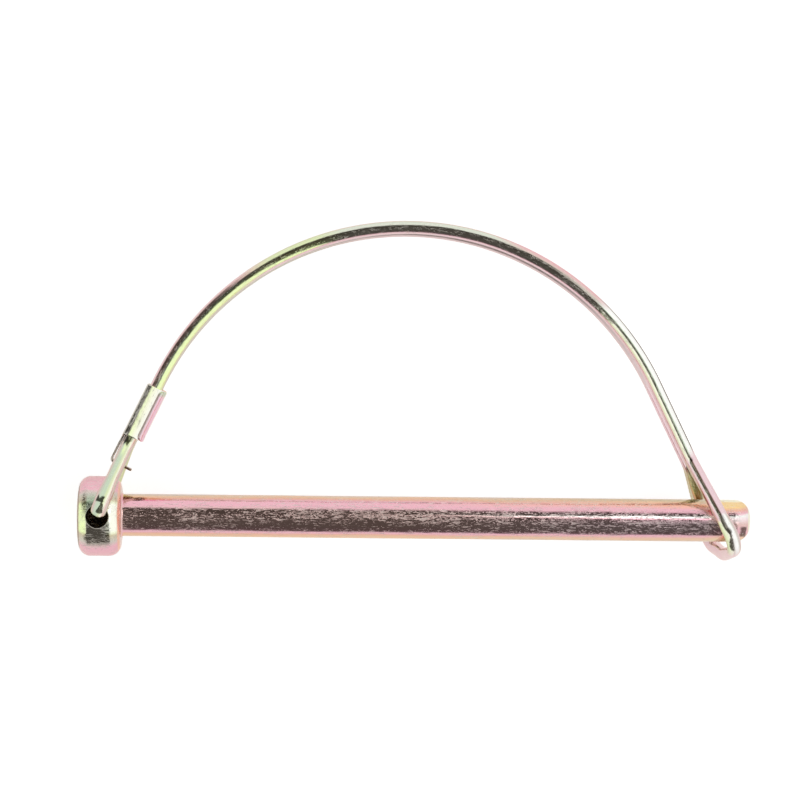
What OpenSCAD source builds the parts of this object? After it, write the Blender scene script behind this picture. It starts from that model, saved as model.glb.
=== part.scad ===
// Wire lock pin: a headed steel pin, a spring wire bail hinged in its head that
// closes over the pin's end, and a sheet clip that holds the bail's two runs together.
// Millimetres. The pin lies along +X with the origin at the middle of the shoulder under
// its head, the bail stands in the XY plane towards +Y, and the hinge runs along Z.

/* [Pin] */
// Diameter of the shank
pin_d = 6.35; // [5:0.05:8]
// Length of the shank under the head
shank_len = 94.3; // [80:0.1:120]
// Radius of the rounded edge at the pin's end
tip_r = 2.4; // [0.4:0.1:2.8]
// Crown of the pin's end face
tip_crown = 0.2; // [0.1:0.1:0.6]
// Diameter of the head
head_d = 12; // [10:0.1:14]
// Length of the head
head_len = 6.4; // [5.5:0.1:9]
// Distance by which the upset head sits off the shank's axis, away from the arch
head_drop = 0.2; // [0:0.05:0.3]
// Radius of the head's outer edge
head_outer_r = 1.9; // [0.5:0.1:2.4]
// Angle of the crease where the outer edge leaves the head's side, in degrees
head_crease = 12; // [4:1:20]
// Radius of the head's edge at the shoulder
head_inner_r = 1.8; // [0.3:0.1:2.2]
// Radius of the fillet where the shank leaves the shoulder
shoulder_r = 0.4; // [0.2:0.1:0.8]

/* [Cross-hole] */
// Diameter of the two holes across the head, one from each side
hole_d = 3.4; // [2.6:0.1:4]
// Full depth of each hole, before its drilled point
hole_depth = 4.6; // [4.2:0.1:5]
// Angle of the drilled point, in degrees
hole_point = 118; // [90:1:150]
// Distance from the shoulder to the middle of the holes
hole_back = 3.3; // [2.8:0.1:4]
// Width of the broken edge at the mouth of each hole
rim_r = 0.1; // [0.05:0.05:0.6]

/* [Bail] */
// Diameter of the spring wire
wire_d = 2; // [1.5:0.1:2.4]
// Gap between the two runs where they lie side by side
run_gap = 0.05; // [0.03:0.01:0.3]
// Slope of the straight legs at both ends of the arch, in degrees
leg_slope = 64; // [58:0.5:70]
// Straight length of the front run's legs, from their forks up to the arch
front_straight = 11.3; // [10:0.1:14]
// Straight length of the rear run's legs, from their forks up to the arch
rear_straight = 10.9; // [10:0.1:14]
// Gap between a leg in the hole and the hole's wall
leg_play = 0.05; // [0.03:0.01:0.2]
// Direction in which the legs lie against the hole's wall, from the pin's axis, in degrees
leg_side = 75; // [60:1:90]
// Depth to which each leg reaches into the head
leg_depth = 3.8; // [2:0.1:4]
// Radius of the bend where a leg turns into the head, to the wire's middle
head_bend_r = 1.7; // [1.3:0.1:2.2]
// Radius of the bends where the runs part, to the wire's middle
part_bend_r = 3; // [2:0.5:5]
// Height above the hinge at which the runs part for the head
head_fork = 9.6; // [8:0.1:12]
// Distance that the runs lean towards the tip between the hinge and that fork
fork_lean = 3.86; // [2:0.02:5]

/* [Loop] */
// Gap between the loop and the pin that it closes over
loop_play = 0.85; // [0.8:0.05:1.5]
// Distance from the pin's end to the middle of the loop
loop_back = 3.8; // [3:0.1:6]
// Radius of the two bends at the foot of the loop, to the wire's middle
loop_bend_r = 2.4; // [1.8:0.1:2.8]
// Radius of the shallow bend in the middle of the loop, to the wire's middle
loop_bottom_r = 6; // [3:0.5:10]
// Slope of the loop's bottom on both sides of that bend, in degrees
loop_rise = 10; // [5:1:20]
// Lean of the loop across the pin, in degrees
loop_lean = 12.5; // [0:0.1:15]
// Distance from the loop's middle back to the bend of the front leg
front_back = 5.2; // [3:0.1:7]
// Height of the front leg's bend above the pin's axis
front_fork = 9; // [8:0.1:12]
// Distance from the loop's middle back to the bend of the rear leg
rear_back = 5.3; // [3:0.1:7]
// Height of the rear leg's bend above the pin's axis
rear_fork = 8.1; // [7:0.1:12]

/* [Clip] */
// Thickness of the clip's sheet
sheet_t = 0.35; // [0.3:0.05:0.6]
// Gap between the clip and the wire, and between the clip's own layers
clip_play = 0.04; // [0.02:0.01:0.1]
// Length of the clip's wrap along the wires
clip_len = 8.3; // [6:0.1:10]
// Distance from the fork of the runs up to the clip's wrap
clip_up = 1.7; // [1.4:0.1:2]
// Angle that the outer layer laps over the front, in degrees
lap_angle = 50; // [30:1:80]
// Radius of the outer layer's free corners
lap_corner_r = 0.9; // [0.3:0.1:1.4]
// Width of the tongue that is folded in between the runs
tongue_w = 2.2; // [1.4:0.1:2.6]
// Distance from the wrap's end to the tongue's fold
tongue_drop = 4.35; // [4:0.05:4.8]
// Length by which the tongue stands out past the wires
tongue_out = 1.2; // [0.4:0.1:1.5]

/* [Hidden] */
$fn = 64;

pin_r = pin_d / 2;
head_r = head_d / 2;
hole_r = hole_d / 2;
wire_r = wire_d / 2;
through = 1; // how far a cut runs past the surface that it opens
bend_inset = 0.1; // how far inside the head's surface the legs start to bend

// The legs lie against the side of the cross-hole that the arch pulls them to.
leg_shift = (hole_d - wire_d) / 2 - leg_play;
foot = [-hole_back + leg_shift * cos(leg_side), leg_shift * sin(leg_side)];

// The two runs lie side by side, one on each side of the XY plane.
run_z = (wire_d + run_gap) / 2;
head_part = foot + [fork_lean, head_fork];

// The loop's legs and its bottom touch a circle about the pin's axis.
loop_r = pin_r + loop_play + wire_r;
loop_x = shank_len - loop_back;
front_part = [loop_x - front_back, front_fork];
rear_part = [loop_x - rear_back, rear_fork];

// Straight lengths of wire are a hair thinner than the bends and reach a little way into
// them, so that each joint between the two is one plain circle.
skin = 0.005;
lap = 0.1;

function unit(v) = v / norm(v);

// Where two lines in a plane cross, each given by a point and a direction in degrees.
function crossing(p, p_angle, q, q_angle) =
    let (gap = q - p,
         s = (gap[0] * sin(q_angle) - gap[1] * cos(q_angle)) / sin(q_angle - p_angle))
    p + s * [cos(p_angle), sin(p_angle)];

// Direction of the line from point p that touches the far side of a circle about c.
function touching(p, c, r) =
    let (v = c - p) atan2(v[1], v[0]) + asin(r / norm(v));

// Where the arch's two straight legs would cross, from the forks at their feet.
function arch_corner(head_end, tip_end) =
    crossing(head_end, leg_slope, tip_end, 180 - leg_slope);

// Radius of the arch that leaves the shorter leg its straight length.
function arch_radius(head_end, tip_end, leg_straight) =
    let (top = arch_corner(head_end, tip_end))
    (min(norm(top - head_end), norm(top - tip_end)) - leg_straight) / tan(leg_slope);

// A wire's route is a list of [corner, bend radius].
function flat(p, z) = [p[0], p[1], z];

// Seen along the pin, in [z, y]: the leg slopes down from its fork, just clears the pin's
// side and turns in under the pin, where the two sides meet in a shallow bend.
loop_bottom = [0, -loop_r / cos(loop_rise)];
function loop_corner(tip_end) =
    let (fork = [run_z, tip_end[1]])
    crossing(fork, touching(fork, [0, 0], loop_r), loop_bottom, loop_rise);

// Seen the same way at the head: the leg slopes down to the bend that turns it into the
// cross-hole, and that bend starts just inside the head.
head_fork_point = [run_z, norm(head_part - foot)];
head_bend_centre = [head_r - bend_inset, head_bend_r];
head_corner = crossing(
    head_fork_point, touching(head_fork_point, head_bend_centre, head_bend_r), [0, 0], 0);

// One side of the bail, from its leg in the head to the loop: side is 1 in front, -1 behind.
function half_route(side, tip_end, leg_straight) =
    let (corner = loop_corner(tip_end), arch_r = arch_radius(head_part, tip_end, leg_straight))
    [
        [flat(foot, side * (head_r - leg_depth)), 0],
        [flat(foot, side * head_corner[0]), head_bend_r],
        [flat(head_part, side * run_z), part_bend_r],
        [flat(arch_corner(head_part, tip_end), side * run_z), arch_r],
        [flat(tip_end, side * run_z), part_bend_r],
        [
            [loop_x + side * corner[0] * tan(loop_lean), corner[1], side * corner[0]],
            loop_bend_r
        ]
    ];

function reversed(list) = [for (i = [len(list) - 1 : -1 : 0]) list[i]];

bail_route = concat(
    half_route(1, front_part, front_straight),
    [[[loop_x, loop_bottom[1], 0], loop_bottom_r]],
    reversed(half_route(-1, rear_part, rear_straight)));

function direction(route, i) = unit(route[i + 1][0] - route[i][0]);
function turn(route, i) = acos(direction(route, i - 1) * direction(route, i));
function is_end(route, i) = i == 0 || i == len(route) - 1;
// Length that the bend at corner i takes from each straight beside it.
function take(route, i) = is_end(route, i) ? lap : route[i][1] * tan(turn(route, i) / 2);

module straight(route, i) {
    d = direction(route, i);
    from = route[i][0] + (take(route, i) - lap) * d;
    to = route[i + 1][0] - (take(route, i + 1) - lap) * d;
    translate(from)
        rotate([0, acos(d[2]), atan2(d[1], d[0])])
            cylinder(r = wire_r - skin, h = norm(to - from));
}

module bend(route, i) {
    before = direction(route, i - 1);
    after = direction(route, i);
    inward = unit(after - (before * after) * before);
    centre = route[i][0] - take(route, i) * before + route[i][1] * inward;
    x = -inward;
    z = cross(x, before);
    multmatrix([
        [x[0], before[0], z[0], centre[0]],
        [x[1], before[1], z[1], centre[1]],
        [x[2], before[2], z[2], centre[2]]
    ])
        rotate_extrude(angle = turn(route, i))
            translate([route[i][1], 0])
                circle(r = wire_r);
}

module bail() {
    color("darkkhaki")
        union() {
            for (i = [0 : len(bail_route) - 2]) straight(bail_route, i);
            for (i = [1 : len(bail_route) - 2]) bend(bail_route, i);
        }
}

// What a rounded edge of radius r takes off a square corner at the origin.
module edge_cut(r) {
    difference() {
        translate([-r, -r]) square(r + through);
        translate([-r, -r]) circle(r = r);
    }
}

// Half sections of the pin: distance from its axis along x, distance along the pin in y.
module head_section() {
    difference() {
        translate([0, -head_len]) square([head_r, head_len]);
        translate([head_r, 0]) edge_cut(head_inner_r);
        translate([head_r + head_outer_r * (1 - cos(head_crease)), -head_len])
            mirror([0, 1]) edge_cut(head_outer_r);
    }
}

module shank_section() {
    crown_r = (pin_r * pin_r + tip_crown * tip_crown) / (2 * tip_crown);
    difference() {
        square([pin_r + shoulder_r, shoulder_r]);
        translate([pin_r + shoulder_r, shoulder_r]) circle(r = shoulder_r);
    }
    difference() {
        translate([0, -through]) square([pin_r, shank_len + through]);
        translate([pin_r, shank_len]) edge_cut(tip_r);
        difference() {
            translate([0, shank_len - pin_r]) square(pin_r + through);
            translate([0, shank_len - crown_r]) circle(r = crown_r);
        }
    }
}

module pin() {
    color("rosybrown")
        difference() {
            rotate([0, 90, 0]) union() {
                translate([0, -head_drop, 0]) rotate_extrude() head_section();
                rotate_extrude() shank_section();
            }
            for (side = [0, 1]) mirror([0, 0, side]) translate([-hole_back, 0, head_r]) {
                rotate_extrude() polygon([
                    [0, -hole_depth - hole_r / tan(hole_point / 2)],
                    [hole_r, -hole_depth],
                    [hole_r, through],
                    [0, through]
                ]);
                translate([0, 0, -rim_r])
                    cylinder(r1 = hole_r, r2 = hole_r + rim_r + through, h = rim_r + through);
            }
        }
}

// The clip is laid out with x across the runs towards the pin, y up along them and z as is.
clip_in_r = wire_r + clip_play; // inside of the first layer, from a wire's middle
layer = sheet_t + clip_play; // step from one layer to the next
inner_end = 0.5; // distance of the inner layer's end from the middle of the rear wire
fold_r = 0.3; // inside of the tongue's fold
tongue_root = 0.5; // how far the tongue reaches up into the wrap's wall
clip_back_x = layer / 2; // middle of the back bend, where the strip steps outwards

// A length of sheet bent round the origin, seen on edge, between two angles.
module sheet_arc(inside_r, from, to) {
    reach = 2 * (inside_r + sheet_t);
    intersection() {
        difference() {
            circle(r = inside_r + sheet_t);
            circle(r = inside_r);
        }
        polygon(concat(
            [[0, 0]],
            [for (a = [from : (to - from) / 4 : to]) reach * [cos(a), sin(a)]]));
    }
}

// The wrap seen on edge: once round both runs, then the layer that laps over the first.
module first_turn() {
    translate([clip_in_r, -run_z + inner_end]) square([sheet_t, 2 * run_z - inner_end]);
    translate([0, run_z]) sheet_arc(clip_in_r, 0, 180);
    translate([-clip_in_r - sheet_t, -run_z]) square([sheet_t, 2 * run_z]);
    translate([clip_back_x, -run_z]) sheet_arc(clip_in_r + clip_back_x, 180, 360);
}

module outer_layer() {
    translate([clip_in_r + layer, -run_z]) square([sheet_t, 2 * run_z]);
    translate([0, run_z]) sheet_arc(clip_in_r + layer, 0, lap_angle);
}

// The tongue seen from the front: down from the wrap's far wall, a fold, and across.
module tongue_section() {
    fold_y = clip_up - tongue_drop;
    wall_x = -clip_in_r - sheet_t;
    fold_x = wall_x + sheet_t + fold_r;
    tongue_end = wire_r + tongue_out;
    translate([wall_x, fold_y + fold_r]) square([sheet_t, tongue_drop - fold_r + tongue_root]);
    translate([fold_x, fold_y + fold_r]) sheet_arc(fold_r, 180, 270);
    translate([fold_x, fold_y - sheet_t]) square([tongue_end - fold_x, sheet_t]);
}

// Stands a section seen on edge up along the runs, from height low to height high.
module along_runs(low, high) {
    translate([0, high, 0]) rotate([90, 0, 0]) linear_extrude(high - low) children();
}

module clip() {
    clip_top = clip_up + clip_len;
    outer_x = clip_in_r + layer + sheet_t;
    color("palegoldenrod")
        translate(flat(head_part, 0)) rotate([0, 0, leg_slope - 90]) union() {
            along_runs(clip_up, clip_top) first_turn();
            difference() {
                along_runs(clip_up, clip_top) outer_layer();
                translate([0, 0, -run_z - through])
                    linear_extrude(2 * run_z + clip_in_r + layer + 2 * through) {
                        translate([outer_x, clip_top]) edge_cut(lap_corner_r);
                        translate([outer_x, clip_up]) mirror([0, 1]) edge_cut(lap_corner_r);
                    }
            }
            translate([0, 0, -tongue_w / 2]) linear_extrude(tongue_w) tongue_section();
        }
}

pin();
bail();
clip();
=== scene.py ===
"""Looks of the wire lock pin: plated steel, a smooth wire for the bail, a smooth sheet for the
clip, the studio and the camera. All of it is laid out in the part's own frame: the pin lies
along +X, the bail stands in the XY plane towards +Y and its hinge runs along Z. Sizes are in
millimetres and angles in degrees, and MM turns the sizes into the scene's metres."""

import math

import bpy
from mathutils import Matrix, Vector


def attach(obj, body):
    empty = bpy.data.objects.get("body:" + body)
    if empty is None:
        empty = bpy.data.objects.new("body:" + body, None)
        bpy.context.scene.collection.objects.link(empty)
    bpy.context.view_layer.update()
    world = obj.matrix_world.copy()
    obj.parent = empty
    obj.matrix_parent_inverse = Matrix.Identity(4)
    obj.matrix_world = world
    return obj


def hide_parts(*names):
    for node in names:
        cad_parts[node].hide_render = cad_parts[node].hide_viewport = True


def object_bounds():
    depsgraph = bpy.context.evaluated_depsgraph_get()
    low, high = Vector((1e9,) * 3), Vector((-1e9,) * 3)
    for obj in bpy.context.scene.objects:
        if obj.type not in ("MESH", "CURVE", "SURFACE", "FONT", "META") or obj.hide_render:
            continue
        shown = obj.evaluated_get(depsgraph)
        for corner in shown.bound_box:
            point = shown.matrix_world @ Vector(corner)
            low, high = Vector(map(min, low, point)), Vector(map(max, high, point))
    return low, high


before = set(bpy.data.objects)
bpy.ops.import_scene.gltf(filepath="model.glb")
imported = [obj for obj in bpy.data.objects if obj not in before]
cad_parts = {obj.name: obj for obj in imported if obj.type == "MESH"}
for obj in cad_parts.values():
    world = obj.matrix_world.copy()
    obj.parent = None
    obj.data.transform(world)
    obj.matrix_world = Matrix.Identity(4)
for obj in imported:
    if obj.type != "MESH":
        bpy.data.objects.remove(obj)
cad_box = [list(corner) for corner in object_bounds()]

MM = 0.001
# A rounded edge has a row at each of these angles.
QUARTER_TURN = (0, 22.5, 45, 67.5, 90)

# ------------------------------------------------- the bail's route, as in the part's source
PIN_R = 6.35 / 2
SHANK_LEN = 94.3
HEAD_R = 6.0
HEAD_DROP = 0.2
HOLE_D = 3.4
HOLE_BACK = 3.3
WIRE_D = 2.0
RUN_GAP = 0.05
LEG_PLAY = 0.05
LEG_SIDE = 75.0
LEG_DEPTH = 3.8
BEND_INSET = 0.1
HEAD_BEND_R = 1.7
HEAD_FORK = 9.6
FORK_LEAN = 3.86
PART_BEND_R = 3.0
LEG_SLOPE = 64.0
FRONT_STRAIGHT = 11.3
REAR_STRAIGHT = 10.9
FRONT_BACK, FRONT_FORK = 5.2, 9.0
REAR_BACK, REAR_FORK = 5.3, 8.1
LOOP_PLAY = 0.85
LOOP_BACK = 3.8
LOOP_BEND_R = 2.4
LOOP_BOTTOM_R = 6.0
LOOP_RISE = 10.0
LOOP_LEAN = 12.5

HOLE_R = HOLE_D / 2
WIRE_R = WIRE_D / 2
RUN_Z = (WIRE_D + RUN_GAP) / 2
LEG_SHIFT = (HOLE_D - WIRE_D) / 2 - LEG_PLAY


def along(degrees):
    """Unit vector in a plane at that angle."""
    return Vector((math.cos(math.radians(degrees)), math.sin(math.radians(degrees))))


FOOT = Vector((-HOLE_BACK, 0)) + LEG_SHIFT * along(LEG_SIDE)
HEAD_PART = FOOT + Vector((FORK_LEAN, HEAD_FORK))
LOOP_R = PIN_R + LOOP_PLAY + WIRE_R
LOOP_X = SHANK_LEN - LOOP_BACK
LOOP_BOTTOM = Vector((0, -LOOP_R / math.cos(math.radians(LOOP_RISE))))
FRONT_PART = Vector((LOOP_X - FRONT_BACK, FRONT_FORK))
REAR_PART = Vector((LOOP_X - REAR_BACK, REAR_FORK))


def crossing(p, p_angle, q, q_angle):
    """Where two lines in a plane cross, each given by a point and a direction."""
    gap, q_way = q - p, along(q_angle)
    reach = (gap.x * q_way.y - gap.y * q_way.x) / math.sin(math.radians(q_angle - p_angle))
    return p + reach * along(p_angle)


def touching(p, centre, radius):
    """Direction of the line from p that touches the far side of a circle."""
    v = centre - p
    return math.degrees(math.atan2(v.y, v.x) + math.asin(radius / v.length))


def arch_corner(tip_end):
    """Where the arch's two straights would meet."""
    return crossing(HEAD_PART, LEG_SLOPE, tip_end, 180 - LEG_SLOPE)


def arch_radius(tip_end, straight):
    """The radius that leaves a straight of that length on the arch's shorter side."""
    top = arch_corner(tip_end)
    leg = min((top - HEAD_PART).length, (top - tip_end).length)
    return (leg - straight) / math.tan(math.radians(LEG_SLOPE))


def loop_corner(tip_end):
    """The loop's lower corner, in the plane across the pin."""
    fork = Vector((RUN_Z, tip_end.y))
    return crossing(fork, touching(fork, Vector((0, 0)), LOOP_R), LOOP_BOTTOM, LOOP_RISE)


def head_corner():
    """The corner in front of the head's hole, in the plane of the leg and the run's fork."""
    fork = Vector((RUN_Z, (HEAD_PART - FOOT).length))
    centre = Vector((HEAD_R - BEND_INSET, HEAD_BEND_R))
    return crossing(fork, touching(fork, centre, HEAD_BEND_R), Vector((0, 0)), 0)


def half_route(side, tip_end, straight):
    """Corners and bend radii from the leg in the head to the loop, on one side."""
    corner, foot_z = loop_corner(tip_end), head_corner().x
    lean = corner.x * math.tan(math.radians(LOOP_LEAN))
    return [
        (Vector((*FOOT, side * (HEAD_R - LEG_DEPTH))), 0),
        (Vector((*FOOT, side * foot_z)), HEAD_BEND_R),
        (Vector((*HEAD_PART, side * RUN_Z)), PART_BEND_R),
        (Vector((*arch_corner(tip_end), side * RUN_Z)), arch_radius(tip_end, straight)),
        (Vector((*tip_end, side * RUN_Z)), PART_BEND_R),
        (Vector((LOOP_X + side * lean, corner.y, side * corner.x)), LOOP_BEND_R),
    ]


BAIL_ROUTE = (
    half_route(1, FRONT_PART, FRONT_STRAIGHT)
    + [(Vector((LOOP_X, LOOP_BOTTOM.y, 0)), LOOP_BOTTOM_R)]
    + half_route(-1, REAR_PART, REAR_STRAIGHT)[::-1]
)


def bends(route):
    """For each bend of a route: its start and end, the directions in and out of it, the angle
    that it turns, in radians, and its radius."""
    for (before, _), (corner, radius), (after, _) in zip(route, route[1:], route[2:]):
        way_in, way_out = (corner - before).normalized(), (after - corner).normalized()
        turn = way_in.angle(way_out)
        take = radius * math.tan(turn / 2)
        yield corner - take * way_in, corner + take * way_out, way_in, way_out, turn, radius


def bend_spans(route):
    """Lengths along the wire at which each bend starts and ends."""
    spans, length, left = [], 0.0, route[0][0]
    for start, end, _, _, turn, radius in bends(route):
        length += (start - left).length
        spans.append((length, length + radius * turn))
        length, left = spans[-1][1], end
    return spans


SPANS = bend_spans(BAIL_ROUTE)
HEAD_FORK_BEND, FRONT_ARCH, TIP_FORK_BEND, LOOP_IN = SPANS[1:5]
LOOP_OUT, REAR_TIP_FORK, REAR_ARCH, REAR_HEAD_FORK = SPANS[6:10]


def arch_at(bearing):
    """Length along the front run at which the arch faces that bearing."""
    start, end = FRONT_ARCH
    return start + (90 + LEG_SLOPE - bearing) / (2 * LEG_SLOPE) * (end - start)


def rear_arch_at(bearing):
    """The same on the rear run, which comes back from the tip to the head."""
    start, end = REAR_ARCH
    return start + (bearing - 90 + LEG_SLOPE) / (2 * LEG_SLOPE) * (end - start)


# ----------------------------------------------------------------------------- the wire
WIRE_TRIM = 0.012
WIRE_SIDES = 48
WIRE_STEP = 0.5
WIRE_TURN = 4.0
WIRE_END_R = 0.25

# Where the wire is bent sharply, into the head and under the pin, the bending has flattened
# it: for each bend its corner in the route, its width and its thickness.
FLAT_BENDS = ((1, 1.19, 0.87), (5, 1.12, 0.92), (7, 1.12, 0.92), (11, 1.19, 0.87))
FLAT_BLEND = 3.0


def steps_to(start, end, step):
    """Points from one place to the next, at most a step apart, with the last place itself."""
    count = max(1, math.ceil((end - start).length / step))
    return [start.lerp(end, i / count) for i in range(1, count + 1)]


def walk(route):
    """Points and tangents along the route, at most a step or a turn apart."""
    points = [(route[0][0], (route[1][0] - route[0][0]).normalized())]
    for start, _, way_in, way_out, turn, radius in bends(route):
        inward = (way_out - way_in.dot(way_out) * way_in).normalized()
        points += [(place, way_in) for place in steps_to(points[-1][0], start, WIRE_STEP)[:-1]]
        count = max(2, math.ceil(turn / min(math.radians(WIRE_TURN), WIRE_STEP / radius)))
        for i in range(count + 1):
            a = turn * i / count
            place = start + radius * (math.sin(a) * way_in + (1 - math.cos(a)) * inward)
            points.append((place, math.cos(a) * way_in + math.sin(a) * inward))
    last, end = points[-1][0], route[-1][0]
    way = (end - last).normalized()
    return points + [(place, way) for place in steps_to(last, end, WIRE_STEP)]


def flattening(length):
    """The wire's width and thickness at that length, as shares of its diameter, and the
    direction in which it is wide."""
    wide, thin, wide_way = 1.0, 1.0, Vector((1, 0, 0))
    for corner, full_wide, full_thin in FLAT_BENDS:
        start, end = SPANS[corner - 1]
        away = max(start - length, length - end, 0.0)
        share = max(0.0, 1 - away / FLAT_BLEND)
        if share > 0:
            share = share * share * (3 - 2 * share)
            before, at, after = (BAIL_ROUTE[corner + k][0] for k in (-1, 0, 1))
            wide_way = (at - before).cross(after - at).normalized()
            wide, thin = 1 + share * (full_wide - 1), 1 + share * (full_thin - 1)
    return wide, thin, wide_way


def carried(normal, before, after):
    """The normal turned with the tangent from one point to the next."""
    return (before.rotation_difference(after) @ normal).normalized()


def untwisted_normals(path):
    """A normal for each point of the path, carried both ways from the top of the arch."""
    arch = min(range(len(path)), key=lambda i: -path[i][0].y)
    normals = [None] * len(path)
    normals[arch] = Vector((0, 1, 0))
    for i in range(arch + 1, len(path)):
        normals[i] = carried(normals[i - 1], path[i - 1][1], path[i][1])
    for i in range(arch - 1, -1, -1):
        normals[i] = carried(normals[i + 1], path[i + 1][1], path[i][1])
    return normals


def rounded_end(ring, sign):
    """Rings from a full one to the wire's end face, at the start (-1) or the end (1)."""
    place, way, normal, radius, length = ring
    rings = []
    for a in QUARTER_TURN:
        back = WIRE_END_R * math.sin(math.radians(a)) - WIRE_END_R
        ring_r = radius - WIRE_END_R * (1 - math.cos(math.radians(a)))
        rings.append((place + sign * way * back, way, normal, ring_r, length + sign * back))
    return rings


def wire_mesh(name):
    """The bail's wire along its route, its ends slightly rounded. The attribute "lay" holds
    each vertex as it would lie if the wire were straight, in mm: along, and across."""
    path = walk(BAIL_ROUTE)
    rings, length = [], 0.0
    for i, ((place, way), normal) in enumerate(zip(path, untwisted_normals(path))):
        length += (place - path[i - 1][0]).length if i else 0.0
        rings.append((place, way, normal, WIRE_R - WIRE_TRIM, length))
    rings = rounded_end(rings[0], -1)[::-1] + rings[1:-1] + rounded_end(rings[-1], 1)

    verts, lay = [], []
    for place, way, normal, ring_r, length in rings:
        side = way.cross(normal)
        wide, thin, wide_way = flattening(length)
        for j in range(WIRE_SIDES):
            a = 2 * math.pi * j / WIRE_SIDES
            reach = ring_r * (math.cos(a) * normal + math.sin(a) * side)
            across = reach.dot(wide_way) * wide_way
            verts.append((place + thin * reach + (wide - thin) * across) * MM)
            lay.append((length, ring_r * math.cos(a), ring_r * math.sin(a)))
    faces = []
    for a in range(0, len(verts) - WIRE_SIDES, WIRE_SIDES):
        b = a + WIRE_SIDES
        for j in range(WIRE_SIDES):
            k = (j + 1) % WIRE_SIDES
            faces.append((a + j, a + k, b + k, b + j))
    faces.append(tuple(reversed(range(WIRE_SIDES))))
    faces.append(tuple(range(len(verts) - WIRE_SIDES, len(verts))))
    return surface_piece(name, verts, faces, "lay", lay)


def surface_piece(name, verts, faces, attribute, values):
    """A mesh object, smooth but for its end faces, with one vector kept for each vertex."""
    mesh = bpy.data.meshes.new(name)
    mesh.from_pydata(verts, [], faces)
    mesh.polygons.foreach_set("use_smooth", [len(f) == 4 for f in faces])
    stored = mesh.attributes.new(attribute, "FLOAT_VECTOR", "POINT")
    stored.data.foreach_set("vector", [v for point in values for v in point])
    mesh.update()
    piece = bpy.data.objects.new(name, mesh)
    bpy.context.collection.objects.link(piece)
    return piece


# ----------------------------------------------------------------------------- the clip
SHEET_T = 0.35
SHEET_EDGE_R = 0.15
CLIP_PLAY = 0.04
CLIP_LOW, CLIP_LEN = 1.7, 8.3
CLIP_HIGH = CLIP_LOW + CLIP_LEN
LAP_END = 62.0
LAP_CORNER_R = 0.9
MOUTH_FLARE, MOUTH_DEPTH = 0.28, 1.1
CLIP_WALL = WIRE_R + CLIP_PLAY + SHEET_T / 2
LAP_WALL = CLIP_WALL + SHEET_T + CLIP_PLAY
BACK_Z = -RUN_Z - (CLIP_WALL + LAP_WALL) / 2
LAP_Z = 2.569

# Seen along the wires with x across the runs towards the pin and z as is, the middle of
# the sheet passes these corners: x, z, bend radius. It ends part of the way round the last
# bend, at LAP_END.
CLIP_PATH = (
    (CLIP_WALL, -0.525, 0.0),
    (CLIP_WALL, 2.061, 0.90),
    (-CLIP_WALL, 2.403, 0.50),
    (-CLIP_WALL, BACK_Z, 1.40),
    (LAP_WALL, BACK_Z, 1.40),
    (LAP_WALL, LAP_Z, 1.29),
    (0.2, LAP_Z, 0.0),
)

# The tongue hangs from the wrap's far wall, is folded a quarter turn and passes between the
# runs. On the flat strip it reaches down to TONGUE_TIP.
TONGUE_HALF = 1.1
TONGUE_DROP = 4.35
TONGUE_OUT = 1.2
TONGUE_ROOT_R = 1.1
TONGUE_TIP_R = 0.35
TONGUE_BULGE = 0.05
TONGUE_BLEND = 1.5
BULGE_FROM, BULGE_RISE = CLIP_LOW + 0.4, 1.9
FOLD_IN_R = 0.3
FOLD_TURN = math.pi / 2
FOLD_R = FOLD_IN_R + SHEET_T / 2
FOLD_START = CLIP_LOW - TONGUE_DROP - SHEET_T / 2 + FOLD_R
FOLD_X = -CLIP_WALL - TONGUE_BULGE + FOLD_R
ROOT_LOW = CLIP_LOW - TONGUE_ROOT_R
TONGUE_TIP = FOLD_START - FOLD_R * FOLD_TURN - (WIRE_R + TONGUE_OUT - FOLD_X)

# How finely the sheet is divided. The rows and columns are closer together at each rounding.
SHEET_STEP = 0.5
SHEET_TURN = 6.0
BORDER_STEPS = 400
COLUMN_GAP = 0.004
SAME_PLACE = 1e-9
EDGE_STEPS = [SHEET_EDGE_R * (1 - math.cos(math.radians(a))) for a in QUARTER_TURN]
LAP_CORNER_STEPS = (0.2, 0.32, 0.46, 0.62, 0.8, 1.0)
ROOT_STEPS = (0.02, 0.08, 0.18, 0.32, 0.5, 0.75, 1)
WRAP_ROWS = (0.12, 0.2, 0.3, 0.42, 0.58, 0.75, 0.88)
DROP_ROWS = (0.0, 0.3, 0.8, 1.4, 2.0, 2.6)
FOLD_ROWS = range(0, 91, 10)
TIP_ROWS = (2.1, 1.4, 0.9, 0.55, TONGUE_TIP_R, 0.24, 0.17)
TIP_FADE = 3 * TONGUE_TIP_R
SHARED_DIGITS = 5


def sheet_line():
    """Points and outward normals on the middle of the sheet, seen along the wires, and the
    length along the sheet at each."""
    path = [(Vector((x, z)), r) for x, z, r in CLIP_PATH]
    line = []
    for k, (start, _, way_in, _, turn, radius) in enumerate(bends(path), 1):
        left = Vector((-way_in.y, way_in.x))
        if k == 1:
            line.append((path[0][0], -left))
        line += [(place, -left) for place in steps_to(line[-1][0], start, SHEET_STEP)[:-1]]
        if k == len(path) - 2:
            turn = math.radians(LAP_END)
        count = math.ceil(turn / math.radians(SHEET_TURN))
        for i in range(count + 1):
            a = turn * i / count
            place = start + radius * (math.sin(a) * way_in + (1 - math.cos(a)) * left)
            line.append((place, math.sin(a) * way_in - math.cos(a) * left))
    lengths = [0.0]
    for (p, _), (q, _) in zip(line, line[1:]):
        lengths.append(lengths[-1] + (q - p).length)
    return line, lengths


def arc_height(radius, across):
    """Height of a circle over its middle, at that distance across from it."""
    return math.sqrt(max(0.0, radius**2 - across**2))


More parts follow.
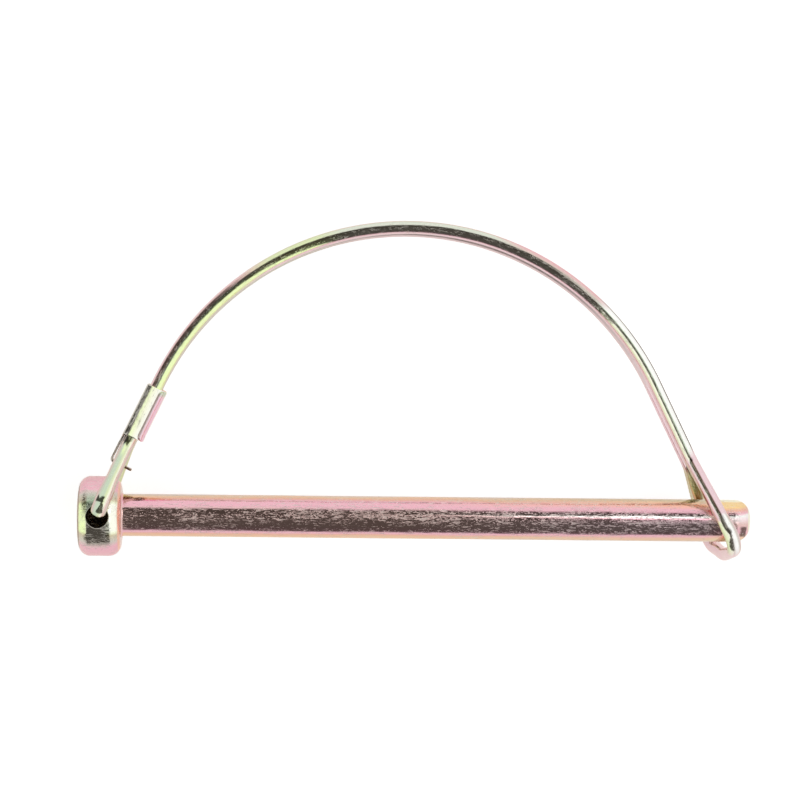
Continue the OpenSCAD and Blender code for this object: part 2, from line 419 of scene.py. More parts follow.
class Strip:
    """The clip's sheet laid out flat: s runs along it, round the runs, and y up the wires."""

    def __init__(self):
        self.line, self.lengths = sheet_line()
        self.end = self.lengths[-1]
        self.middle = self.far_wall()
        self.tongue_sides = self.middle - TONGUE_HALF, self.middle + TONGUE_HALF
        self.border = self.outline()

    def far_wall(self):
        """Where the wall away from the pin crosses the plane between the runs."""
        pairs = zip(self.line, self.line[1:], self.lengths, self.lengths[1:])
        for (p, _), (q, _), p_length, q_length in pairs:
            if p.x < 0 and p.y > 0 >= q.y:
                return p_length + p.y / (p.y - q.y) * (q_length - p_length)

    def corner_cut(self, s):
        """How far the lap's rounded corners cut in from its upper and lower edges."""
        inside = max(0.0, s - (self.end - LAP_CORNER_R))
        return LAP_CORNER_R - arc_height(LAP_CORNER_R, inside)

    def low_edge(self, s):
        """The wrap's lower edge, with a fillet on each side of the tongue."""
        left, right = self.tongue_sides
        away = max(left - s, s - right, 0.0)
        low = CLIP_LOW
        if away < TONGUE_ROOT_R:
            low = ROOT_LOW + arc_height(TONGUE_ROOT_R, TONGUE_ROOT_R - away)
        return low + self.corner_cut(s)

    def outline(self):
        """The flat strip's edge, as a closed loop of points."""
        left, right = self.tongue_sides
        across = [self.end * i / BORDER_STEPS for i in range(BORDER_STEPS + 1)]
        low = [(s, self.low_edge(s)) for s in across]
        tongue = [(left, ROOT_LOW), (left, TONGUE_TIP + TONGUE_TIP_R)]
        for side, way, angles in ((left, 1, (30, 60, 90)), (right, -1, (90, 60, 30, 0))):
            for a in angles:
                inset = TONGUE_TIP_R * (1 - math.cos(math.radians(a)))
                rise = TONGUE_TIP_R * (1 - math.sin(math.radians(a)))
                tongue.append((side + way * inset, TONGUE_TIP + rise))
        tongue.append((right, ROOT_LOW))
        high = [(s, CLIP_HIGH - self.corner_cut(s)) for s in reversed(across)]
        return [p for p in low if p[0] <= left] + tongue + [p for p in low if p[0] >= right] + high

    def rim_distance(self, s, y):
        """Distance to the strip's edge, or the edge's rounding where that is less."""
        best = SHEET_EDGE_R
        for (s0, y0), (s1, y1) in zip(self.border, self.border[1:] + self.border[:1]):
            if min(y0, y1) - best > y or max(y0, y1) + best < y:
                continue
            if min(s0, s1) - best > s or max(s0, s1) + best < s:
                continue
            ds, dy = s1 - s0, y1 - y0
            size = ds * ds + dy * dy
            t = ((s - s0) * ds + (y - y0) * dy) / size if size else 0.0
            t = min(max(t, 0.0), 1.0)
            best = min(best, math.hypot(s - s0 - t * ds, y - y0 - t * dy))
        return best

    def at(self, s):
        """Place and outward normal of the wrap there, seen along the wires."""
        s = min(max(s, 0.0), self.end)
        i = max(j for j in range(len(self.lengths) - 1) if self.lengths[j] <= s)
        share = (s - self.lengths[i]) / (self.lengths[i + 1] - self.lengths[i])
        (p, p_normal), (q, q_normal) = self.line[i : i + 2]
        return p.lerp(q, share), p_normal.lerp(q_normal, share).normalized()

    def bent(self, s, y):
        """Place on the middle of the bent sheet in the clip's axes, and its outward normal."""
        place, normal = self.at(s)
        if y >= FOLD_START:
            flare = MOUTH_FLARE * max(0.0, 1 - (y - ROOT_LOW) / (MOUTH_DEPTH + TONGUE_ROOT_R)) ** 2
            aside = max(0.0, abs(s - self.middle) - TONGUE_HALF)
            on_tongue = max(0.0, 1 - aside / TONGUE_BLEND)
            bulge = TONGUE_BULGE * min(max((BULGE_FROM - y) / BULGE_RISE, 0.0), 1.0)
            place = place + normal * (flare * (1 - on_tongue) + bulge * on_tongue)
            return Vector((place.x, y, place.y)), Vector((normal.x, 0, normal.y))
        turn = min((FOLD_START - y) / FOLD_R, FOLD_TURN)
        past = max(0.0, FOLD_START - y - FOLD_R * FOLD_TURN)
        x = FOLD_X - FOLD_R * math.cos(turn) + past
        low = FOLD_START - FOLD_R * math.sin(turn)
        return Vector((x, low, place.y)), Vector((-math.cos(turn), -math.sin(turn), 0))

    def columns(self):
        """Places along the strip for the columns of its grid."""
        found = set(EDGE_STEPS) | {self.end - d for d in EDGE_STEPS} | set(self.lengths)
        found |= {self.end - LAP_CORNER_R * f for f in LAP_CORNER_STEPS}
        for side, way in zip(self.tongue_sides, (1, -1)):
            found |= {side + way * d for d in EDGE_STEPS}
            found |= {side - way * TONGUE_ROOT_R * f for f in ROOT_STEPS}
        found = sorted(s for s in found if 0 <= s <= self.end)
        kept = [0.0] + [b for a, b in zip(found, found[1:]) if b - a > COLUMN_GAP]
        kept[-1] = self.end
        return kept


def flat_grid(strip):
    """The flat strip's points, and its faces: a grid for the wrap and one for the tongue."""
    points, index = [], {}

    def vertex(s, y):
        key = (round(s, SHARED_DIGITS), round(y, SHARED_DIGITS))
        if key not in index:
            index[key] = len(points)
            points.append((s, y))
        return index[key]

    columns, wrap = strip.columns(), []
    for s in columns:
        low, high = strip.low_edge(s), CLIP_HIGH - strip.corner_cut(s)
        rows = [low + d for d in EDGE_STEPS] + [low + f * (high - low) for f in WRAP_ROWS]
        rows += [high - d for d in reversed(EDGE_STEPS)]
        wrap.append([vertex(s, y) for y in rows])

    rows = [ROOT_LOW - d for d in DROP_ROWS]
    rows += [FOLD_START - FOLD_R * math.radians(a) for a in FOLD_ROWS]
    rows += [TONGUE_TIP + d for d in TIP_ROWS + tuple(reversed(EDGE_STEPS))]
    left, right = strip.tongue_sides
    tongue = []
    for s in columns:
        away = min(s - left, right - s)
        if away >= -SAME_PLACE:
            lift = TONGUE_TIP_R - arc_height(TONGUE_TIP_R, max(0.0, TONGUE_TIP_R - away))
            shares = [max(0.0, 1 - (y - TONGUE_TIP) / TIP_FADE) for y in rows]
            column = [vertex(s, y + lift * share) for y, share in zip(rows, shares)]
            tongue.append(column[::-1])

    faces = [
        (one[j], two[j], two[j + 1], one[j + 1])
        for grid in (wrap, tongue)
        for one, two in zip(grid, grid[1:])
        for j in range(len(one) - 1)
    ]
    return points, faces


def clip_sheet_mesh(name):
    """The strip of sheet, bent round the runs, with its tongue folded in between them. The
    attribute "sheet" holds each vertex's place on the flat strip, in mm: across, along."""
    strip = Strip()
    points, flat_faces = flat_grid(strip)
    origin = Vector((*HEAD_PART, 0))
    across, rise = (Vector((*along(a), 0)) for a in (LEG_SLOPE - 90, LEG_SLOPE))
    outer, inner = [], []
    for s, y in points:
        near = strip.rim_distance(s, y)
        half = SHEET_T / 2 - SHEET_EDGE_R + arc_height(SHEET_EDGE_R, SHEET_EDGE_R - near)
        place, normal = strip.bent(s, y)
        for skin, sign in ((outer, 1), (inner, -1)):
            p = place + sign * half * normal
            skin.append((origin + p.x * across + p.y * rise + Vector((0, 0, p.z))) * MM)

    # The faces are the two skins, and a wall along every edge that has one flat face only.
    total = len(points)
    faces, edges = [], {}
    for face in flat_faces:
        faces.append(tuple(reversed(face)))
        faces.append(tuple(total + i for i in face))
        edges.update(dict.fromkeys(zip(face, face[1:] + face[:1])))
    faces += [(a, b, total + b, total + a) for a, b in edges if (b, a) not in edges]
    return surface_piece(name, outer + inner, faces, "sheet", [(s, y, 0.0) for s, y in points] * 2)


# ------------------------------------------------------------------------ node building
def linear(colour):
    """An sRGB colour from 0 to 255 as the linear one that a shader takes."""
    return tuple(
        v / 12.92 if v <= 0.04045 else ((v + 0.055) / 1.055) ** 2.4
        for v in (c / 255 for c in colour)
    ) + (1.0,)


class Graph:
    """A node tree with short calls for the nodes used here. Inputs are sockets or numbers."""

    def __init__(self, tree):
        self.tree = tree
        tree.nodes.clear()

    def node(self, kind, inputs=(), **settings):
        made = self.tree.nodes.new("ShaderNode" + kind)
        for key, value in settings.items():
            setattr(made, key, value)
        pairs = inputs.items() if isinstance(inputs, dict) else enumerate(inputs)
        for key, value in pairs:
            self.feed(made.inputs[key], value)
        return made

    def feed(self, socket, value):
        if isinstance(value, bpy.types.NodeSocket):
            self.tree.links.new(value, socket)
        elif value is not None:
            socket.default_value = value

    def math(self, operation, a, b=None):
        return self.node("Math", (a, b), operation=operation).outputs[0]

    def plus(self, a, b):
        return self.math("ADD", a, b)

    def minus(self, a, b):
        return self.math("SUBTRACT", a, b)

    def times(self, a, b):
        return self.math("MULTIPLY", a, b)

    def larger(self, a, b):
        return self.math("MAXIMUM", a, b)

    def hypot(self, a, b):
        return self.math("SQRT", self.plus(self.times(a, a), self.times(b, b)))

    def drifted(self, value, drift, amount):
        """The value, moved by that much of the drift, so that no colour's edge is straight."""
        return self.plus(value, self.times(drift, amount))

    def span(self, value, low, high, to_low=0.0, to_high=1.0, smooth=True):
        """From to_low to to_high while the value goes from low to high."""
        made = self.node(
            "MapRange",
            (value, low, high, to_low, to_high),
            interpolation_type="SMOOTHSTEP" if smooth else "LINEAR",
        )
        return made.outputs[0]

    def band(self, value, rise, fall, peak=1.0):
        """Up while the value goes through its first range, and down through its second."""
        return self.times(self.span(value, *rise), self.span(value, *fall, peak, 0.0))

    def parts(self, vector):
        return self.node("SeparateXYZ", (vector,)).outputs

    def scaled(self, vector, scale):
        return self.node("VectorMath", (vector, scale), operation="MULTIPLY").outputs[0]

    def stored(self, name):
        """A vector that surface_piece has kept for each vertex."""
        made = self.node("Attribute", attribute_name=name, attribute_type="GEOMETRY")
        return made.outputs["Vector"]

    def facing(self):
        """The way the surface faces, in the object's axes."""
        return self.parts(self.node("TexCoord").outputs["Normal"])

    def grain(self, surface, x, across, detail=2.0, roughness=0.5, distortion=0.0, offset=None):
        """Noise with that many cells to the mm along the grain and across it."""
        place = self.scaled(surface, (x, across, across))
        if offset:
            place = self.node("VectorMath", (place, offset), operation="ADD").outputs[0]
        inputs = {"Vector": place, "Scale": 1.0, "Detail": detail}
        inputs |= {"Roughness": roughness, "Distortion": distortion}
        return self.node("TexNoise", inputs).outputs[0]

    def ramp(self, value, stops):
        """The colour at that value, from stops of a place and an sRGB colour."""
        made = self.node("ValToRGB", (value,))
        ramp = made.color_ramp
        ramp.interpolation = "LINEAR"
        while len(ramp.elements) > 1:
            ramp.elements.remove(ramp.elements[-1])
        ramp.elements[0].position, ramp.elements[0].color = stops[0][0], linear(stops[0][1])
        for place, colour in stops[1:]:
            ramp.elements.new(place).color = linear(colour)
        return made.outputs[0]

    def mix(self, share, a, b):
        """From colour a to colour b; a plain colour is given in sRGB."""
        made = self.node("Mix", data_type="RGBA")
        self.feed(made.inputs[0], share)
        for key, value in ((6, a), (7, b)):
            self.feed(made.inputs[key], linear(value) if isinstance(value, tuple) else value)
        return made.outputs[2]

    def bump(self, height, strength, depth, normal=None):
        inputs = {"Height": height, "Strength": strength, "Distance": depth * MM}
        return self.node("Bump", inputs | {"Normal": normal}).outputs[0]


# ------------------------------------------------------------------- zinc plated steel
EDGE_TINT = (1.0, 0.95, 0.88, 1.0)
SCRATCH_COLOUR = (238, 236, 226)
SCRATCH_TINT = 0.55
SCRATCH_ROUGHNESS = 0.5
FAINTEST_SCRATCH = 0.35
GRAIN_SHARE = 0.3
SCRATCH_BUMP, SCRATCH_DEPTH = 0.4, 0.02
WAVE_BUMP, WAVE_DEPTH = 0.9, 0.06
HAZE_RANGE = (0.6, 1.5)

# The range that most of a noise's values lie in, and its middle; then the few highest values,
# which are the streaks and the specks, and how far the patches move those.
NOISE_WIDE, NOISE_MIDDLE = (0.3, 0.7), (0.35, 0.65)
STREAKS, SPECKS = (0.575, 0.61), (0.585, 0.62)
PATCHES = (0.035, -0.03)

# Colours of the clear yellow plating, which is a thin film: they shift with its thickness
# and with the way the surface faces. Olive, umber and the dark edge colour are painted shade and
# dark reflections, and the dark brown is painted shade at the clip's mouth; white also paints a
# highlight at the knee.
SILVER = (216, 202, 190)
STRAW = (238, 200, 166)
AMBER = (252, 216, 154)
PEACH = (238, 184, 162)
ROSE = (239, 184, 196)
LILAC = (238, 208, 214)
BLUSH = (230, 194, 188)
PALE_BLUSH = (250, 232, 234)
STONE = (210, 202, 190)
SAGE = (200, 216, 190)
MOSS = (168, 188, 160)
KHAKI = (204, 192, 160)
PALE_LIME = (222, 232, 184)
LIME = (240, 254, 190)
CREAM = (252, 252, 228)
WHITE = (254, 254, 250)
OLIVE = (124, 112, 68)
UMBER = (132, 108, 88)
DARK_EDGE = (92, 78, 66)
PEARL = (222, 226, 210)
SHOULDER_PEACH = (250, 190, 166)
HEAD_PALE = (255, 255, 242)
CLIP_PINK = (254, 204, 226)
CLIP_GREY = (206, 202, 192)
DARK_BROWN = (70, 52, 42)

# Each run of colours goes from facing one way across the piece, at 0, to facing the other.
SHANK_NEAR_HEAD = (
    (0.0, SILVER), (0.02, STRAW), (0.06, STRAW), (0.10, PEACH), (0.14, ROSE), (0.3, BLUSH),
    (0.66, BLUSH), (0.76, ROSE), (0.88, ROSE), (0.93, PEACH), (0.97, STRAW), (1.0, SILVER),
)
SHANK_NEAR_TIP = (
    (0.0, SILVER), (0.06, STRAW), (0.14, ROSE), (0.26, LILAC), (0.46, LILAC), (0.56, ROSE),
    (0.61, WHITE), (0.70, ROSE), (0.78, ROSE), (0.85, SHOULDER_PEACH), (0.92, STRAW),
    (0.96, KHAKI), (1.0, SILVER),
)
SHANK_END = (
    (0.0, PALE_LIME), (0.1, STRAW), (0.24, ROSE), (0.42, BLUSH), (0.56, PALE_BLUSH),
    (0.62, WHITE), (0.68, ROSE), (0.76, PEACH), (0.83, AMBER), (0.93, AMBER), (0.97, CREAM),
)
HEAD_ABOVE = ((0.0, SAGE), (0.3, MOSS), (0.48, MOSS), (0.62, STONE), (0.72, ROSE), (1.0, ROSE))
HEAD_BELOW = ((0.0, STONE), (0.5, STONE), (0.66, SILVER), (0.80, ROSE), (1.0, ROSE))
HEAD_CORNERS = ((0.0, LIME), (0.36, LIME), (0.46, KHAKI), (0.62, STONE), (0.76, ROSE))
HEAD_LEG = (
    (0.0, KHAKI), (0.07, STONE), (0.18, BLUSH), (0.30, CREAM), (0.42, PALE_LIME), (0.56, SAGE),
    (0.72, SAGE), (0.84, STONE), (1.0, BLUSH),
)
ARCH_NEAR_HEAD = (
    (0.0, STONE), (0.06, SILVER), (0.12, LIME), (0.42, LIME), (0.52, SAGE), (0.70, BLUSH),
    (0.86, BLUSH), (0.94, LILAC), (1.0, SILVER),
)
ARCH_LEFT = (
    (0.0, LILAC), (0.14, LILAC), (0.20, LIME), (0.42, LIME), (0.56, KHAKI), (0.72, PALE_LIME),
    (0.92, PALE_LIME), (1.0, STONE),
)
ARCH_TOP = (
    (0.0, LILAC), (0.17, LILAC), (0.24, STONE), (0.60, STONE), (0.72, PEARL), (0.90, PEARL),
    (1.0, BLUSH),
)
ARCH_RIGHT = (
    (0.0, LILAC), (0.17, LILAC), (0.24, STONE), (0.66, STONE), (0.78, BLUSH), (1.0, ROSE),
)
# The darkest stops, at the outer edge, paint a dark outline.
ARCH_NEAR_TIP = (
    (0.0, LILAC), (0.17, BLUSH), (0.22, PALE_LIME), (0.32, CREAM), (0.46, CREAM), (0.56, SAGE),
    (0.62, WHITE), (0.89, WHITE), (0.92, DARK_EDGE), (1.0, DARK_EDGE),
)
# The umber stops paint a dark reflection line down the leg's middle, laid over a real one that they
# widen.
TIP_LEG = (
    (0.0, KHAKI), (0.12, BLUSH), (0.26, LILAC), (0.34, CREAM), (0.43, CREAM), (0.47, UMBER),
    (0.55, UMBER), (0.61, LILAC), (1.0, LILAC),
)
# The white stops paint a highlight along the knee.
KNEE = (
    (0.0, KHAKI), (0.12, PALE_LIME), (0.36, CREAM), (0.46, STONE), (0.62, WHITE), (0.78, WHITE),
    (0.88, STONE), (1.0, LILAC),
)
# The olive stops paint a dark reflection of the pin's side.
REAR_TIP_LEG = (
    (0.0, KHAKI), (0.18, PALE_LIME), (0.32, OLIVE), (0.62, OLIVE), (0.74, KHAKI), (0.87, BLUSH),
)
REAR_RUN = ((0.0, LILAC), (0.22, LILAC), (0.5, PALE_LIME), (0.8, LILAC), (1.0, LILAC))
# The olive and umber stops paint a dark reflection on the rear leg by the head.
REAR_HEAD_LEG = ((0.0, PALE_LIME), (0.25, KHAKI), (0.45, OLIVE), (0.75, UMBER), (1.0, STONE))
CROWN = ((0.0, PALE_BLUSH), (0.14, WHITE), (0.6, CREAM), (1.0, LIME))


def plated(name, surface_of, tint_of, wear_of, scratch_share=0.8, dullness=0.10):
    """Steel with a clear yellow zinc plating. surface_of(g) gives the surface's place in mm
    with x along the grain; tint_of(g, surface, drift) gives the plating's colour, with the painted
    shade and reflections laid into it; wear_of(g, surface) gives how much thicker the scratches
    lie than usual, and the rubbed edges.
    scratch_share is how plainly the scratches show, and dullness the roughness between them."""
    material = bpy.data.materials.new(name)
    material.use_nodes = True
    g = Graph(material.node_tree)
    surface = surface_of(g)
    drift = g.span(g.grain(surface, 0.06, 0.4), *NOISE_WIDE, -1.0, 1.0, smooth=False)
    more, edges = wear_of(g, surface)

    # Lengthwise scratches and rubbed spots, thicker on the ground in some patches.
    patches = g.grain(surface, 0.12, 0.35, detail=3.0, offset=(5.0, 2.0, 9.0))
    dense = g.minus(g.span(patches, *NOISE_MIDDLE, *PATCHES), more)
    streaks = g.grain(surface, 1.0, 5.6, distortion=0.5)
    streaked = g.span(g.minus(streaks, dense), *STREAKS)
    specks = g.grain(surface, 2.6, 6.0, detail=3.0, roughness=0.6, offset=(31.0, 7.0, 3.0))
    specked = g.span(g.minus(specks, dense), *SPECKS)
    strength = g.grain(surface, 0.7, 2.0, offset=(3.0, 11.0, 4.0))
    faintest = FAINTEST_SCRATCH * scratch_share
    strength = g.span(strength, *NOISE_MIDDLE, faintest, scratch_share)
    rubbed = g.larger(g.times(g.larger(streaked, specked), strength), edges)

    tint = tint_of(g, surface, drift)
    colour = g.mix(g.times(rubbed, SCRATCH_TINT), tint, SCRATCH_COLOUR)
    haze = g.grain(surface, 0.35, 1.2, detail=3.0)
    haze = g.span(haze, *NOISE_WIDE, *(dullness * share for share in HAZE_RANGE))
    roughness = g.plus(haze, g.times(rubbed, SCRATCH_ROUGHNESS))

    # Drawn steel isn't quite true: long shallow waves under the fine grain of the scratches.
    waved = g.bump(g.grain(surface, 0.22, 0.7), WAVE_BUMP, WAVE_DEPTH)
    grain = g.grain(surface, 2.5, 12.0, roughness=0.55)
    height = g.minus(g.times(grain, GRAIN_SHARE), rubbed)
    normal = g.bump(height, SCRATCH_BUMP, SCRATCH_DEPTH, waved)

    shader = g.node(
        "BsdfPrincipled",
        {
            "Base Color": colour,
            "Metallic": 1.0,
            "Roughness": roughness,
            "Specular Tint": EDGE_TINT,
            "Normal": normal,
        },
    )
    g.node("OutputMaterial", (shader.outputs[0],))
    return material


# Places along the pin between which one colour gives way to the next.
HEAD_ROUND = ((-5.2, -4.7), (-2.1, -1.7))
HEAD_PALE_FROM = (-2.6, -1.4)
SHOULDER = (-0.45, -0.25)
SHANK_FROM = (-0.12, -0.02)
TIP_COLOURS = (38.0, 88.0)
END_COLOURS = (87.0, 91.0)
END_RIM = (90.0, 91.0)
# The same across the head's middle, and for the way a surface faces along the pin, from -1
# on the head's end face to 1 at the tip.
HEAD_UPPER = (-1.5, 1.5)
HEAD_END_FACING = (-0.8, -0.95)
# Where the painted shade along the head's outer crease fades in and out.
CREASE_FACING = (-0.80, -0.87), (-0.99, -0.97)
END_RIM_FACING = (0.8, 0.9)
# The dark patch at the pin's end: where along the pin, and where across it, as runs of colours go.
DARK_PATCH_ALONG = ((92.2, 92.7), (93.3, 93.5))
DARK_PATCH_ACROSS = ((0.11, 0.17), (0.34, 0.4))
# The cross-holes: their walls, which take painted shade, by the distance from their axis and by the
# depth, and the rim.
HOLE_WALL = (HOLE_R + 0.01, HOLE_R + 0.03)
HOLE_MOUTH = (HEAD_R - 0.2, HEAD_R - 0.1)
HOLE_RIM = (HOLE_R - 0.01, HOLE_R + 0.01), (HOLE_R + 0.08, HOLE_R + 0.14)
# How much thicker scratches lie, by the place along the pin: on the shank's flank that faces
# up, and on the head, where the rims' wear ends short of the shoulder.
FLANK_FACING = (-0.35, 0.05)
FLANK_WEAR = (8.0, 30.0, 0.022, 0.034)
HEAD_WEAR = (-0.9, -1.1, 0.022, -0.02)
RIM_WEAR_END = (-1.0, -0.9)


def pin_surface(g):
    return g.scaled(g.node("TexCoord").outputs["Object"], (1 / MM,) * 3)


def hole_reach(g, surface):
    """Distance from the cross-holes' common axis."""
    x, y, _ = g.parts(surface)
    return g.hypot(g.plus(x, HOLE_BACK), y)


def shank_tint(g, along_pin, normal, drift):
    """Pink round the shank with gold towards its sides, and paler with a dark patch at its end."""
    facing = g.drifted(g.span(normal[1], -1.0, 1.0, smooth=False), drift, 0.02)
    shank = g.mix(
        g.span(along_pin, *TIP_COLOURS),
        g.ramp(facing, SHANK_NEAR_HEAD),
        g.ramp(facing, SHANK_NEAR_TIP),
    )
    shank = g.mix(g.span(along_pin, *END_COLOURS), shank, g.ramp(facing, SHANK_END))
    dark_patch = g.times(
        g.band(g.drifted(along_pin, drift, 0.25), *DARK_PATCH_ALONG),
        g.band(facing, *DARK_PATCH_ACROSS, 0.85),
    )
    shank = g.mix(dark_patch, shank, DARK_BROWN)
    end_rim = g.times(g.span(along_pin, *END_RIM), g.span(normal[0], *END_RIM_FACING))
    return g.mix(end_rim, shank, CREAM)


def head_tint(g, surface, normal, drift):
    """Green-gold on the head's corners, greener above its middle than below, pink at its
    sides and its end, with painted shade along the crease at its outer edge and inside the
    cross-holes."""
    along_pin, y, z = g.parts(surface)
    y = g.plus(y, HEAD_DROP)
    sideways = g.math("DIVIDE", g.math("ABSOLUTE", y), g.larger(g.hypot(y, z), 0.1))
    sideways = g.drifted(sideways, drift, 0.03)
    round_side = g.mix(
        g.span(y, *HEAD_UPPER), g.ramp(sideways, HEAD_BELOW), g.ramp(sideways, HEAD_ABOVE)
    )
    head = g.mix(g.band(along_pin, *HEAD_ROUND), g.ramp(sideways, HEAD_CORNERS), round_side)
    pale = g.times(g.span(along_pin, *HEAD_PALE_FROM), g.span(sideways, 0.3, 0.5, 0.95, 0.0))
    head = g.mix(pale, head, HEAD_PALE)
    head = g.mix(g.span(along_pin, *SHOULDER, 0.0, 0.9), head, SHOULDER_PEACH)
    end_face = g.mix(g.span(drift, -0.8, 0.8), STRAW, BLUSH)
    head = g.mix(g.span(normal[0], *HEAD_END_FACING), head, end_face)
    # Painted shade along the crease at the head's outer edge.
    outside, inside = CREASE_FACING
    crease_shade = g.times(g.span(normal[0], *outside), g.span(normal[0], *inside, 0.0, 0.8))
    head = g.mix(crease_shade, head, UMBER)
    # Painted shade on the cross-holes' walls.
    hole_shade = g.times(
        g.span(hole_reach(g, surface), *HOLE_WALL, 1.0, 0.0),
        g.span(g.math("ABSOLUTE", z), *HOLE_MOUTH, 1.0, 0.0),
    )
    return g.mix(hole_shade, head, UMBER)


def pin_tint(g, surface, drift):
    """The head's colours up to the shoulder, and the shank's from there."""
    along_pin, normal = g.parts(surface)[0], g.facing()
    shank = shank_tint(g, along_pin, normal, drift)
    head = head_tint(g, surface, normal, drift)
    return g.mix(g.span(along_pin, *SHANK_FROM), head, shank)


def pin_wear(g, surface):
    """Scratches lie thicker on the shank's upper flank, and more so on the head; the
    cross-holes' rims are rubbed."""
    along_pin = g.parts(surface)[0]
    flank = g.times(g.span(g.facing()[1], *FLANK_FACING), g.span(along_pin, *FLANK_WEAR))
    more = g.minus(flank, g.span(along_pin, *HEAD_WEAR))
    rim = g.band(hole_reach(g, surface), *HOLE_RIM, 0.8)
    return more, g.times(rim, g.span(along_pin, *RIM_WEAR_END, 1.0, 0.0))


# The length along the wire at which it comes out of the clip's mouth.
FORK_TAKE = PART_BEND_R * math.tan((HEAD_FORK_BEND[1] - HEAD_FORK_BEND[0]) / PART_BEND_R / 2)
MOUTH_AT = HEAD_FORK_BEND[1] - FORK_TAKE + CLIP_LOW

# Lengths along the wire between which each run of colours takes over from the one before.
WIRE_COLOURS = (
    (HEAD_FORK_BEND[1] + 0.5, HEAD_FORK_BEND[1] + 5.0, ARCH_NEAR_HEAD),
    (arch_at(128), arch_at(118), ARCH_LEFT),
    (arch_at(111), arch_at(103), ARCH_TOP),
    (arch_at(74), arch_at(64), ARCH_RIGHT),
    (arch_at(50), arch_at(45), ARCH_NEAR_TIP),
    (TIP_FORK_BEND[0] - 1.5, TIP_FORK_BEND[0] + 0.5, TIP_LEG),
    (LOOP_IN[0] - 1.2, LOOP_IN[0] - 0.4, KNEE),
    (LOOP_OUT[1], LOOP_OUT[1] + 2.0, REAR_TIP_LEG),
    (REAR_TIP_FORK[0], REAR_TIP_FORK[1], REAR_RUN),
    (REAR_HEAD_FORK[0] - 1.0, REAR_HEAD_FORK[0] + 0.5, REAR_HEAD_LEG),
)
# Stretches of the wire with a colour or a finish of their own: where each fades in and out.
LOOP_BAND = (sum(LOOP_IN) / 2, LOOP_IN[1]), (LOOP_OUT[0], LOOP_OUT[1] + 1.0)
REAR_HEAD_SIDE = (
    (rear_arch_at(92), rear_arch_at(118)), (REAR_HEAD_FORK[0] - 1.0, REAR_HEAD_FORK[0]),
)
REAR_ARCH_BAND = [(end - 2.0, end + 2.0) for end in REAR_ARCH]
# A bright green patch on the leg under the clip's mouth, and painted shade at the mouth, which
# is measured from there. Across the wire, both are placed as the runs of colours are.
GLINT_FROM = (MOUTH_AT - 4.5, MOUTH_AT - 2.5)
GLINT_ACROSS = (0.44, 0.54), (0.64, 0.76)
MOUTH_SHADE_ALONG = (-0.35, -0.1), (0.6, 1.1)
MOUTH_SHADE_ACROSS = (0.2, 0.5)


def wire_surface(g):
    return g.stored("lay")


def wire_tint(g, surface, drift):
    """Yellow-green on the leg and up the arch, stone and pink over its top, cream and white
    down to the knee, lilac round the loop and mostly lilac on the rear run. Painted light: a dark
    outline on the arch near the tip, a dark line down the leg to the tip, a highlight at the knee,
    dark reflections on the rear run's legs, and shade at the clip's mouth."""
    length, outward, _ = g.parts(surface)
    facing = g.drifted(g.span(outward, -WIRE_R, WIRE_R, smooth=False), drift, 0.03)
    place = g.drifted(length, drift, 1.5)
    tint = g.ramp(facing, HEAD_LEG)
    glint = g.times(g.span(place, *GLINT_FROM), g.band(facing, *GLINT_ACROSS, 0.8))
    tint = g.mix(glint, tint, LIME)
    for start, end, colours in WIRE_COLOURS:
        tint = g.mix(g.span(place, start, end), tint, g.ramp(facing, colours))
    tint = g.mix(g.band(length, *LOOP_BAND), tint, LILAC)
    tint = g.mix(g.band(place, *REAR_HEAD_SIDE), tint, STONE)
    # Painted shade under the clip's mouth, smeared across the wire.
    smear = g.drifted(g.times(facing, 1.1), drift, 0.2)
    below = g.plus(g.minus(length, MOUTH_AT), smear)
    mouth_shade = g.times(g.band(below, *MOUTH_SHADE_ALONG), g.span(facing, *MOUTH_SHADE_ACROSS, 0.0, 0.65))
    return g.mix(mouth_shade, tint, DARK_BROWN)


def wire_wear(g, surface):
    """The rear run is dull along the arch, on the side where the front run rubs on it."""
    upper = g.span(g.facing()[2], -0.3, 0.1, 0.0, 0.65)
    return 0.0, g.times(upper, g.band(g.parts(surface)[0], *REAR_ARCH_BAND))


# Lengths across the flat strip at which its colour changes: over the crown and past it, at
# the back, on the lap and at its free edge; then the height from which the plating is dull,
# and the height below which the tongue has left the wrap.
CROWN_SPAN = (2.2, 4.3)
CROWN_END = 4.14
BACK_START = 8.5
LAP_START = 14.5
LAP_EDGE = 15.84
DULL_FROM = 9.3
TONGUE_FROM = -2.9
# How much thicker scratches lie on the wall between two heights, and how much thinner they
# lie on the whole clip, before that is added.
WALL_WEAR = (1.0, 8.5, 0.06, 0.18)
CLIP_LESS_WEAR = 0.06


def clip_surface(g):
    """The place on the flat strip, turned so that x runs along the wires."""
    across, up, _ = g.parts(g.stored("sheet"))
    return g.node("CombineXYZ", (up, across, 0.0)).outputs[0]


